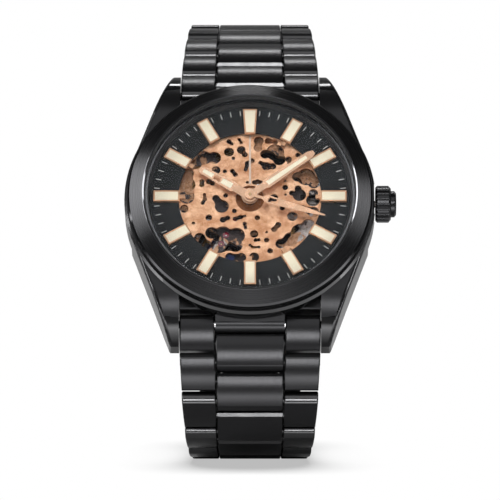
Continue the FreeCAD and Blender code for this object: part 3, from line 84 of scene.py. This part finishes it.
class Shader:
    """Short way to write a node material."""

    def __init__(self, name):
        self.material = bpy.data.materials.new(name)
        self.material.use_nodes = True
        self.tree = self.material.node_tree
        self.bsdf = self.tree.nodes["Principled BSDF"]
        self.out = self.tree.nodes["Material Output"]

    def node(self, kind, inputs=None, **settings):
        node = self.tree.nodes.new("ShaderNode" + kind)
        for key, value in settings.items():
            setattr(node, key, value)
        for key, value in (inputs or {}).items():
            self.put(node.inputs[key], value)
        return node

    def put(self, socket, value):
        """A value or another node's output goes into a socket."""
        if isinstance(value, bpy.types.NodeSocket):
            self.tree.links.new(value, socket)
        else:
            socket.default_value = value

    def set(self, **inputs):
        for key, value in inputs.items():
            self.put(self.bsdf.inputs[key.replace("_", " ")], value)

    def place(self):
        """Coordinates at rest, in metres, in the row frame."""
        return self.node("TexCoord").outputs["Object"]

    def head_place(self):
        """Coordinates at rest, in metres, in the watch frame, measured from the case back."""
        turn = self.node("VectorRotate", {"Vector": self.place(), "Angle": -LEAN}, rotation_type="X_AXIS")
        return turn.outputs["Vector"]

    def scaled(self, vector, scale):
        return self.node("Mapping", {"Vector": vector, "Scale": scale}).outputs["Vector"]

    def noise(self, vector, scale, detail=3.0, roughness=0.55):
        node = self.node("TexNoise", {"Vector": vector, "Scale": scale, "Detail": detail,
                                      "Roughness": roughness})
        return node.outputs["Fac"]

    def rings(self, value, scale, detail=2.0):
        """Noise in one dimension, along value."""
        node = self.node("TexNoise", {"W": value, "Scale": scale, "Detail": detail}, noise_dimensions="1D")
        return node.outputs["Fac"]

    def remap(self, value, low, high, to_low, to_high):
        node = self.node("MapRange", {"Value": value, "From Min": low, "From Max": high, "To Min": to_low,
                                      "To Max": to_high})
        return node.outputs["Result"]

    def head_axes(self):
        """The three coordinates of head_place, one by one."""
        split = self.node("SeparateXYZ", {"Vector": self.head_place()})
        return split.outputs["X"], split.outputs["Y"], split.outputs["Z"]

    def radius(self, x, y):
        square = self.math("ADD", self.math("MULTIPLY", x, x), self.math("MULTIPLY", y, y))
        return self.math("SQRT", square)

    def math(self, operation, first, second=0.0):
        node = self.node("Math", operation=operation)
        self.put(node.inputs[0], first)
        self.put(node.inputs[1], second)
        return node.outputs["Value"]

    def mix(self, share, first, second):
        node = self.node("Mix", {"Factor": share}, data_type="RGBA")
        self.put(node.inputs[6], first if isinstance(first, bpy.types.NodeSocket) else (*first, 1.0))
        self.put(node.inputs[7], second if isinstance(second, bpy.types.NodeSocket) else (*second, 1.0))
        return node.outputs[2]

    def bump(self, height, strength, distance):
        node = self.node("Bump", {"Height": height, "Strength": strength, "Distance": distance})
        self.set(Normal=node.outputs["Normal"])


# ---------------------------------------------------------------- materials
BLACK = (0.020, 0.020, 0.021)


def satin_black(name, along_x, roughness=0.25, tint=BLACK):
    """Black-coated steel with fine straight brushing; along_x sets the direction of the lines."""
    s = Shader(name)
    place = s.place()
    fine = (300.0, 9000.0, 9000.0) if along_x else (9000.0, 160.0, 160.0)
    lines = s.noise(s.scaled(place, fine), 1.0, 2.0)
    cloud = s.noise(place, 90.0, 1.0)
    s.set(Base_Color=s.mix(cloud, tint, tuple(c * 1.25 for c in tint)), Metallic=0.92,
          Roughness=s.remap(lines, 0.3, 0.7, roughness - 0.015, roughness + 0.02))
    s.bump(lines, 0.03, 0.00001)
    return s.material


def polished_black(name="polished_black", shade=0.02, roughness=0.1):
    """Polished black coating with faint smears."""
    s = Shader(name)
    smear = s.noise(s.place(), 320.0, 3.0)
    dark = s.mix(smear, (shade * 0.9,) * 3, (shade, shade, shade * 1.05))
    s.set(Base_Color=dark, Metallic=0.9,
          Roughness=s.remap(smear, 0.3, 0.7, roughness - 0.03, roughness + 0.03))
    return s.material


def circular_black(name="bezel_black"):
    """Circular brushing on the bezel's slope, polished on the rim, and a polished inner edge painted paler
    as a highlight.
    """
    s = Shader(name)
    x, y, _ = s.head_axes()
    radius = s.radius(x, y)
    rings = s.rings(s.math("MULTIPLY", radius, 1000.0), 9.0)
    on_slope = s.math("MULTIPLY", s.math("GREATER_THAN", radius, BEZEL_SLOPE_IN * MM),
                      s.math("LESS_THAN", radius, BEZEL_SLOPE_OUT * MM))
    rough = s.remap(rings, 0.3, 0.7, 0.24, 0.34)
    radial = s.node("CombineXYZ", {"X": x, "Y": y})
    tangent = s.node("VectorRotate", {"Vector": radial.outputs["Vector"], "Angle": LEAN},
                     rotation_type="X_AXIS")
    # painted highlight: the inner lip gets a paler base colour than the black slope
    inner = s.math("LESS_THAN", radius, BEZEL_LIP * MM)
    shade = s.mix(inner, BLACK, (0.09, 0.09, 0.095))
    s.set(Base_Color=shade, Metallic=0.93, Anisotropic=s.math("MULTIPLY", on_slope, 0.75),
          Tangent=tangent.outputs["Vector"],
          Roughness=s.math("ADD", 0.08, s.math("MULTIPLY", on_slope, s.math("SUBTRACT", rough, 0.08))))
    s.bump(s.math("MULTIPLY", rings, on_slope), 0.1, 0.00002)
    return s.material


def rose_gold(name, colour, roughness, grain=0.25, hub_dot=0.0):
    """Frosted rose gold with faint blotches and specks and, if wanted, a dark dot on the hands' axis:
    painted shade of the hole there.
    """
    s = Shader(name)
    place = s.place()
    blotch = s.noise(place, 420.0, 5.0, 0.65)
    speck = s.noise(place, 5200.0, 2.0)
    darker = tuple(c * 0.72 for c in colour)
    plate = s.mix(s.remap(blotch, 0.35, 0.65, 0.0, 1.0), darker, colour)
    if hub_dot:
        x, y, _ = s.head_axes()
        # painted shade: a dark dot stands for the hole on the hands' axis
        plate = s.mix(s.math("LESS_THAN", s.radius(x, y), hub_dot * MM), plate, (0.015, 0.03, 0.03))
    s.set(Base_Color=plate, Metallic=0.85,
          Roughness=s.remap(blotch, 0.3, 0.7, roughness + 0.08, roughness - 0.04))
    s.bump(speck, grain, 0.00003)
    return s.material


def bridge_gold():
    """The openworked plate: frosted rose gold with painted shade, dark bronze in the sunk bowl at its
    middle and darker deep in its openings.
    """
    s = Shader("bridge_rose_gold")
    head = s.head_place()
    x, y, z = s.head_axes()
    blotch = s.noise(head, 500.0, 6.0, 0.7)
    stain = s.noise(s.scaled(head, (1.0, 2.2, 1.0)), 190.0, 3.0)
    gold = s.mix(s.remap(blotch, 0.4, 0.6, 0.0, 1.0), (0.54, 0.27, 0.15), (0.80, 0.49, 0.31))
    gold = s.mix(s.remap(stain, 0.49, 0.62, 0.0, 0.5), gold, (0.42, 0.18, 0.075))
    fleck = s.noise(head, 2400.0, 4.0, 0.7)
    gold = s.mix(s.remap(fleck, 0.54, 0.66, 0.0, 0.6), gold, (0.36, 0.14, 0.05))
    rib = s.math("MULTIPLY", s.math("LESS_THAN", s.math("ABSOLUTE", x), RIB_HALF * MM),
                 s.math("GREATER_THAN", z, (BACK_DEPTH - RIB_DEPTH) * MM))
    gold = s.mix(rib, gold, (0.56, 0.44, 0.36))
    # painted shade: the sunk bowl and the deep walls of the openings are coloured dark bronze
    sunk = s.math("MULTIPLY", s.math("LESS_THAN", s.radius(x, y), BOWL_R * MM),
                  s.math("LESS_THAN", z, (BACK_DEPTH - BOWL_DEPTH) * MM))
    wall_shade = s.math("LESS_THAN", z, (BACK_DEPTH - WALL_SHADE_DEPTH) * MM)
    dark = s.math("MAXIMUM", sunk, s.math("MULTIPLY", wall_shade, 0.75))
    s.set(Base_Color=s.mix(dark, gold, (0.20, 0.075, 0.03)), Metallic=0.85,
          Roughness=s.remap(blotch, 0.3, 0.7, 0.46, 0.34))
    s.bump(s.noise(head, 5200.0, 3.0), 0.3, 0.00003)
    return s.material


def movement_plate(name, copper_share):
    """Dark grained plate with ragged patches painted on as glints, bronze-coloured for copper_share of
    them.
    """
    s = Shader(name)
    head = s.head_place()
    stretch = s.node("TexNoise", {"Vector": head, "Scale": 700.0, "Detail": 4.0})
    wobble = s.node("TexNoise", {"Vector": head, "Scale": 900.0, "Detail": 3.0})
    shift = s.node("VectorMath", {0: wobble.outputs["Color"], 1: (1.2 * MM,) * 3}, operation="MULTIPLY")
    ragged = s.node("VectorMath", {0: head, 1: stretch.outputs["Color"], 2: shift.outputs["Vector"]},
                    operation="MULTIPLY_ADD")
    # painted glints: ragged cells turn into bronze patches, and the brightest cells into silver ones
    cells = s.node("TexVoronoi", {"Vector": ragged.outputs["Vector"], "Scale": 380.0, "Randomness": 1.0})
    patch = s.node("SeparateXYZ", {"Vector": cells.outputs["Color"]}).outputs["X"]
    grain = s.remap(s.noise(head, 1300.0, 5.0, 0.75), 0.35, 0.65, 0.0, 1.0)
    cloud = s.noise(head, 520.0, 4.0, 0.6)
    grey = s.mix(cloud, (0.028, 0.022, 0.022), (0.085, 0.070, 0.070))
    bronze = s.mix(grain, (0.20, 0.09, 0.04), (0.62, 0.36, 0.22))
    silver = s.mix(grain, (0.20, 0.17, 0.16), (0.62, 0.57, 0.55))
    share = s.math("LESS_THAN", patch, copper_share)
    bright = s.math("GREATER_THAN", patch, 0.87)
    colour = s.mix(bright, s.mix(share, grey, bronze), silver)
    s.set(Base_Color=colour, Metallic=0.8, Roughness=s.remap(grain, 0.3, 0.7, 0.28, 0.5))
    s.bump(grain, 0.45, 0.00006)
    return s.material


def steel(name, colour=(0.60, 0.60, 0.61), roughness=0.22):
    """Bare or blued steel with fine straight grain."""
    s = Shader(name)
    lines = s.noise(s.scaled(s.place(), (7000.0, 400.0, 400.0)), 1.0, 2.0)
    s.set(Base_Color=(*colour, 1), Metallic=1.0,
          Roughness=s.remap(lines, 0.3, 0.7, roughness - 0.06, roughness + 0.08))
    s.bump(lines, 0.08, 0.00002)
    return s.material


def grained_brass():
    """Wheel brass with circular grain about the watch's middle."""
    s = Shader("wheel_brass")
    x, y, _ = s.head_axes()
    rings = s.rings(s.math("MULTIPLY", s.radius(x, y), 1000.0), 7.0)
    s.set(Base_Color=s.mix(rings, (0.50, 0.30, 0.12), (0.75, 0.50, 0.24)), Metallic=1.0,
          Roughness=s.remap(rings, 0.3, 0.7, 0.2, 0.36))
    s.bump(rings, 0.15, 0.00002)
    return s.material


def dial_black():
    """Charcoal dial with a very fine sunburst."""
    s = Shader("dial_charcoal")
    x, y, _ = s.head_axes()
    angle = s.math("ARCTAN2", y, x)
    rays = s.rings(s.math("MULTIPLY", angle, 60.0), 4.0, 3.0)
    grain = s.noise(s.place(), 9000.0, 2.0)
    s.set(Base_Color=s.mix(rays, (0.0105, 0.0115, 0.0125), (0.0150, 0.0160, 0.0170)),
          Specular_IOR_Level=0.12, Roughness=s.remap(grain, 0.3, 0.7, 0.48, 0.6))
    s.bump(grain, 0.1, 0.00002)
    return s.material


def crystal_clear(name, reflection):
    """Coated flat glass: light passes straight through and only a faint reflection stays."""
    s = Shader(name)
    clear = s.node("BsdfTransparent", {"Color": (0.985, 0.99, 0.99, 1)})
    shine = s.node("BsdfGlossy", {"Color": (0.9, 0.93, 1.0, 1), "Roughness": 0.02})
    edge = s.node("LayerWeight", {"Blend": 0.25}).outputs["Fresnel"]
    share = s.math("MULTIPLY", edge, reflection)
    mixed = s.node("MixShader", {"Fac": share})
    s.tree.links.new(clear.outputs[0], mixed.inputs[1])
    s.tree.links.new(shine.outputs[0], mixed.inputs[2])
    s.tree.links.new(mixed.outputs[0], s.out.inputs["Surface"])
    return s.material


def lume():
    """Cream luminous paste, slightly grainy, with a faint glow painted on to brighten it."""
    s = Shader("lume_cream")
    grain = s.noise(s.place(), 5200.0, 3.0)
    cream = s.mix(grain, (0.56, 0.50, 0.37), (0.64, 0.58, 0.45))
    # painted light: a faint emission brightens the paste
    s.set(Base_Color=cream, Roughness=0.75, Emission_Color=cream, Emission_Strength=0.06)
    s.bump(grain, 0.2, 0.00003)
    return s.material


def ruby():
    s = Shader("ruby")
    depth = s.noise(s.place(), 900.0, 2.0)
    s.set(Base_Color=s.mix(depth, (0.10, 0.004, 0.012), (0.22, 0.010, 0.035)), Roughness=0.08)
    s.set(Coat_Weight=0.6)
    return s.material


def plain_matte(name, colour, roughness):
    """Finely grained paint or plastic."""
    s = Shader(name)
    grain = s.noise(s.place(), 3000.0, 3.0)
    s.set(Base_Color=s.mix(grain, tuple(c * 0.8 for c in colour), colour), Roughness=roughness)
    s.bump(grain, 0.15, 0.00003)
    return s.material


# ---------------------------------------------------------------- finishes of the CAD nodes
def dress(node, material):
    """One finish over a whole CAD node."""
    mesh = NODES[node].data
    mesh.materials.clear()
    mesh.materials.append(material)


def finish_faces(node, materials, choose):
    """Faces of one CAD node share out the materials; choose gives the index from a face's normal."""
    mesh = NODES[node].data
    mesh.materials.clear()
    for material in materials:
        mesh.materials.append(material)
    for face in mesh.polygons:
        face.material_index = choose(face.normal)


def by_side(normal):
    """Polished flanks, satin elsewhere."""
    return POLISHED if abs(normal.x) > SIDEWAYS else SATIN


def row_directions(side, heading):
    """Along a bracelet row away from the case, and out of its top face; side is 1 at 12 and -1 at 6."""
    angle = math.radians(heading)
    along = Vector((0, side * math.cos(angle), -math.sin(angle)))
    out = Vector((0, side * math.sin(angle), math.cos(angle)))
    return HEAD_TURN @ along, HEAD_TURN @ out


# places of the three finishes in a node's list of materials; the third is a lighter polished black that
# paints a highlight on edge faces
SATIN, POLISHED, PAINTED_EDGE_HIGHLIGHT = 0, 1, 2
SIDEWAYS = 0.35                     # a face whose normal points this far sideways is a flank
ROW_EDGE = 0.3                      # a row's edge face leans this far to the head and this far out
LUG_TOP = 0.9                       # the lugs' tops point this far out of the dial
CHAMFER_OUT = 0.4                   # their chamfers less so, and at least CHAMFER_SIDE sideways
CHAMFER_SIDE = 0.5
HEAD_TURN = Matrix.Rotation(LEAN, 3, "X")
satin = satin_black("link_satin", False)
polished = polished_black()
# lighter copy of the polished black: a painted highlight for edge faces
edge = polished_black("edge_painted_highlight", 0.05, 0.19)
for side, side_name, headings in ((1, "upper", UPPER_HEADINGS), (-1, "lower", LOWER_HEADINGS)):
    for number, heading in enumerate(headings):
        along, out = row_directions(side, heading)

        def row_face(normal, along=along, out=out):
            """Satin links with polished flanks, and a painted highlight (a lighter polished black) on the
            edge faces on the side that faces the head.
            """
            if abs(normal.x) > SIDEWAYS:
                return POLISHED
            facing_head = normal.dot(along) < -ROW_EDGE and normal.dot(out) > ROW_EDGE
            return PAINTED_EDGE_HIGHLIGHT if facing_head else SATIN

        finish_faces(f"{side_name}_row_{number + 1}", (satin, polished, edge), row_face)
for name in ("clasp_cover", "clasp_blade_long", "clasp_blade_short"):
    finish_faces(name, (satin, polished), by_side)
case_satin = satin_black("case_satin", False, 0.30)


def case_face(normal):
    """The case is satin on top of its lugs and polished on its flanks, chamfers and waist, with a painted
    highlight (a lighter polished black) on the sideways chamfers.
    """
    local = HEAD_TURN.inverted() @ normal
    if local.z > LUG_TOP:
        return SATIN
    # the chamfers' paler colour is a painted highlight
    return PAINTED_EDGE_HIGHLIGHT if local.z > CHAMFER_OUT and abs(local.x) > CHAMFER_SIDE else POLISHED


finish_faces("mid_case", (case_satin, polished, edge), case_face)
finish_faces("end_links", (case_satin, polished), by_side)
dress("bezel", circular_black())
dress("rehaut_ring", plain_matte("rehaut_black", (0.008, 0.008, 0.009), 0.5))
dress("case_back", circular_black("back_black"))
dress("crown", satin_black("crown_satin", True, 0.24))
dress("dial_plate", dial_black())
dress("skeleton_bridge", bridge_gold())
dress("main_plate", movement_plate("main_plate_dark", 0.42))
back_plate = movement_plate("back_plate_dark", 0.0)
dress("train_bridge", back_plate)
dress("balance_cocks", back_plate)
frame_gold = rose_gold("frame_rose_gold", (0.52, 0.29, 0.17), 0.28, 0.05)
hand_gold = rose_gold("hand_rose_gold", (0.62, 0.38, 0.25), 0.26, 0.05)
dress("hour_indices", frame_gold)
for name in ("hour_hand", "minute_hand"):
    dress(name, hand_gold)
dress("seconds_hand", rose_gold("seconds_rose_gold", (0.66, 0.40, 0.26), 0.26, 0.05, 0.25))
dress("rotor", rose_gold("rotor_rose_gold", (0.75, 0.45, 0.28), 0.3))
dress("balance_wheel", rose_gold("balance_gold", (0.72, 0.46, 0.24), 0.2, 0.05))
brass = grained_brass()
for name in ("barrel", "center_wheel", "third_wheel", "fourth_wheel"):
    dress(name, brass)
bright = steel("bright_steel")
dark_metal = steel("dark_steel", (0.10, 0.09, 0.085), 0.4)
for name in ("setting_lever", "winding_stem"):
    dress(name, dark_metal)
for name in ("spring_bars", "ratchet_wheel", "escape_wheel", "pallet_fork", "rotor_bearing", "hour_wheel",
             "minute_wheel", "cannon_pinion", "mainspring", "movement_screws"):
    dress(name, bright)
dress("hairspring", steel("blued_steel", (0.06, 0.10, 0.32), 0.2))
dress("jewels", ruby())
dress("crystal", crystal_clear("crystal_glass", 0.15))
dress("case_back_glass", crystal_clear("back_glass", 0.6))
dress("crystal_gasket", plain_matte("gasket_black", (0.01, 0.01, 0.01), 0.6))
dress("movement_holder", plain_matte("holder_black", (0.015, 0.015, 0.016), 0.5))


# ---------------------------------------------------------------- pieces of the visual model
def head_piece(name, faces_of, body, material):
    """Mesh drawn in the watch frame by faces_of(bm), which moves with body."""
    bm = bmesh.new()
    faces_of(bm)
    bmesh.ops.recalc_face_normals(bm, faces=bm.faces)
    bmesh.ops.transform(bm, matrix=HEAD, verts=bm.verts)
    mesh = bpy.data.meshes.new(name)
    bm.to_mesh(mesh)
    bm.free()
    piece = bpy.data.objects.new(name, mesh)
    bpy.context.scene.collection.objects.link(piece)
    mesh.materials.append(material)
    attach(piece, body)


def slab(bm, outline, low, high, turn=0.0, dome=0.0):
    """Raised polygon. With dome, its middle stands that much higher and slopes join it to the outline."""
    spin = Matrix.Rotation(math.radians(turn), 3, "Z")
    bottom = [bm.verts.new(spin @ Vector((x, y, low))) for x, y in outline]
    top = [bm.verts.new(spin @ Vector((x, y, high))) for x, y in outline]
    count = len(outline)
    for i in range(count):
        j = (i + 1) % count
        bm.faces.new((bottom[i], bottom[j], top[j], top[i]))
    bm.faces.new(bottom[::-1])
    if not dome:
        bm.faces.new(top)
        return
    middle = Vector((sum(x for x, _ in outline) / count, sum(y for _, y in outline) / count, 0))
    inner = [bm.verts.new(spin @ (Vector((x, y, 0)).lerp(middle, DOME_INSET) + Vector((0, 0, high + dome))))
             for x, y in outline]
    for i in range(count):
        j = (i + 1) % count
        bm.faces.new((top[i], top[j], inner[j], inner[i]))
    bm.faces.new(inner)


def index_outline(hour):
    """Lume bed of one index, pointing at 12 before it is turned."""
    if hour == 0:
        inner, outer, start = 0.9, 1.2, INDEX_IN - 0.2
    else:
        inner, outer, start = 1.0, 1.0, INDEX_IN
    rim = INDEX_RIM
    return [(-inner + rim, start + rim), (inner - rim, start + rim), (outer - rim, INDEX_OUT - rim),
            (-outer + rim, INDEX_OUT - rim)]


cream = lume()


def index_lume(bm):
    for hour in range(12):
        slab(bm, index_outline(hour), INDEX_TOP - 0.12, INDEX_TOP - 0.03, -30.0 * hour, 0.02)


def minute_track(bm):
    """Short printed marks between the hour indices."""
    tick = [(-TICK_HALF, TICK_IN), (TICK_HALF, TICK_IN), (TICK_HALF, INDEX_OUT), (-TICK_HALF, INDEX_OUT)]
    for minute in range(60):
        if minute % 5:
            slab(bm, tick, 0.0, TICK_HEIGHT, -6.0 * minute)


def hour_hand_lume(bm):
    for cell in ([(-0.5, 3.6), (0.5, 3.6), (0.5, 5.6), (-0.5, 5.6)],
                 [(-0.42, 7.35), (0.42, 7.35), (0.3, 9.3), (-0.3, 9.3)]):
        slab(bm, cell, HOUR_TOP - 0.09, HOUR_TOP - 0.005, -HOUR_ANGLE, 0.02)


def minute_hand_lume(bm):
    slab(bm, [(-0.42, 3.7), (0.42, 3.7), (0.3, 12.0), (-0.3, 12.0)], MINUTE_TOP - 0.1, MINUTE_TOP - 0.005,
         -MINUTE_ANGLE, 0.02)


head_piece("index_lume", index_lume, "case", cream)
head_piece("minute_track", minute_track, "case", plain_matte("print_grey", (0.62, 0.62, 0.60), 0.6))
head_piece("hour_hand_lume", hour_hand_lume, "hour", cream)
head_piece("minute_hand_lume", minute_hand_lume, "center", cream)


# ---------------------------------------------------------------- stage, light and camera
FLOOR_Z = CAD_BOUNDS[0].z
PIXELS_PER_MM = 5.88
IMAGE_SIDE = 500
SENSOR = 36.0
LENS = 300.0
VIEW_ELEVATION = math.radians(3.0)
DIAL_ABOVE_MIDDLE = 9.0             # the dial's middle stands this far above the picture's middle, in mm
FLOOR_REFLECTED = (0.45, 0.45, 0.45)
CARD_Y = -0.08                      # white card on the floor in front of the watch, seen in the steel only
CARD_REACH = 0.045
CARD_GLOW = 8.0
SHADOW_REACH = 0.013
SHADOW_DEPTH = 0.50
SURROUND = (0.10, 0.10, 0.105)


def floor_white():
    """White for the camera with a soft contact shadow, and a dimmer grey in the steel's reflections."""
    s = Shader("floor_white")
    split = s.node("SeparateXYZ", {"Vector": s.place()})
    from_card = s.math("ABSOLUTE", s.math("SUBTRACT", split.outputs["Y"], CARD_Y))
    card = s.remap(from_card, 0.0, CARD_REACH, CARD_GLOW, 0.0)
    s.set(Base_Color=(*FLOOR_REFLECTED, 1), Roughness=0.7, Specular_IOR_Level=0.0,
          Emission_Color=(1, 1, 1, 1), Emission_Strength=card)
    open_sky = s.node("AmbientOcclusion", {"Distance": SHADOW_REACH}, samples=16).outputs["AO"]
    shade = s.remap(open_sky, 0.45, 0.97, SHADOW_DEPTH, 1.0)
    grey = s.node("CombineColor", {"Red": shade, "Green": shade, "Blue": shade})
    glow = s.node("Emission", {"Color": grey.outputs[0]})
    path = s.node("LightPath")
    mixed = s.node("MixShader", {"Fac": path.outputs["Is Camera Ray"]})
    s.tree.links.new(s.bsdf.outputs[0], mixed.inputs[1])
    s.tree.links.new(glow.outputs[0], mixed.inputs[2])
    s.tree.links.new(mixed.outputs[0], s.out.inputs["Surface"])
    return s.material


def studio_floor():
    """Pale floor that curves up into a pale backdrop."""
    bm = bmesh.new()
    depth, radius, height, half = 0.5, 0.25, 1.2, 1.6
    profile = [(-1.2, 0.0), (depth, 0.0)]
    profile += [(depth + radius * math.sin(a), radius - radius * math.cos(a))
                for a in (math.radians(9.0 * i) for i in range(1, 11))]
    profile.append((depth + radius, height))
    rows = [[bm.verts.new((x, y, FLOOR_Z + z)) for y, z in profile] for x in (-half, half)]
    for i in range(len(profile) - 1):
        bm.faces.new((rows[0][i], rows[1][i], rows[1][i + 1], rows[0][i + 1]))
    mesh = bpy.data.meshes.new("studio_floor")
    bm.to_mesh(mesh)
    bm.free()
    floor = bpy.data.objects.new("studio_floor", mesh)
    bpy.context.scene.collection.objects.link(floor)
    for face in mesh.polygons:
        face.use_smooth = True
    mesh.materials.append(floor_white())


def softbox(name, place, size_x, size_y, radiance):
    """White softbox aimed at the frame's origin, whose brightness in a mirror is radiance times white."""
    data = bpy.data.lights.new(name, "AREA")
    data.shape = "RECTANGLE"
    data.size = size_x
    data.size_y = size_y
    data.energy = radiance * math.pi * size_x * size_y
    light = bpy.data.objects.new(name, data)
    light.location = place
    light.rotation_mode = "QUATERNION"
    light.rotation_quaternion = (-Vector(place)).to_track_quat("-Z", "Y")
    bpy.context.scene.collection.objects.link(light)


def studio_world():
    """Soft grey surround for reflections, near-white where the camera looks past the floor."""
    world = bpy.data.worlds.new("studio")
    bpy.context.scene.world = world
    world.use_nodes = True
    tree = world.node_tree
    background = tree.nodes["Background"]
    path = tree.nodes.new("ShaderNodeLightPath")
    mix = tree.nodes.new("ShaderNodeMix")
    mix.data_type = "RGBA"
    mix.inputs[6].default_value = (*SURROUND, 1)
    mix.inputs[7].default_value = (1.0, 1.0, 1.0, 1)
    tree.links.new(path.outputs["Is Camera Ray"], mix.inputs[0])
    tree.links.new(mix.outputs[2], background.inputs["Color"])
    background.inputs["Strength"].default_value = 1.0


def studio_camera():
    """Long lens in front of the watch, a little above it, as far off as gives the wanted scale."""
    back = Vector((0, -math.cos(VIEW_ELEVATION), math.sin(VIEW_ELEVATION)))
    up = Vector((0, math.sin(VIEW_ELEVATION), math.cos(VIEW_ELEVATION)))
    dial = HEAD @ Vector((0, 0, 0))
    target = dial - up * DIAL_ABOVE_MIDDLE * MM
    distance = LENS / SENSOR * IMAGE_SIDE / PIXELS_PER_MM * MM
    data = bpy.data.cameras.new("camera")
    data.lens = LENS
    data.sensor_width = SENSOR
    data.clip_start = 0.01
    data.clip_end = 10.0
    camera = bpy.data.objects.new("camera", data)
    camera.location = target + back * distance
    camera.rotation_mode = "QUATERNION"
    camera.rotation_quaternion = (-back).to_track_quat("-Z", "Y")
    bpy.context.scene.collection.objects.link(camera)
    bpy.context.scene.camera = camera


studio_floor()
studio_world()
studio_camera()
softbox("key_top", (0.0, -0.42, 0.52), 0.55, 0.35, 1.5)
softbox("left_box", (-0.52, -0.10, 0.30), 0.30, 0.40, 14.0)
softbox("right_box", (0.52, -0.14, 0.24), 0.16, 0.34, 11.0)
softbox("front_soft", (0.0, -0.95, 0.30), 0.10, 0.22, 30.0)
softbox("back_strip", (0.0, 0.34, 0.56), 0.14, 0.06, 20.0)
bpy.context.scene.view_settings.view_transform = "Standard"
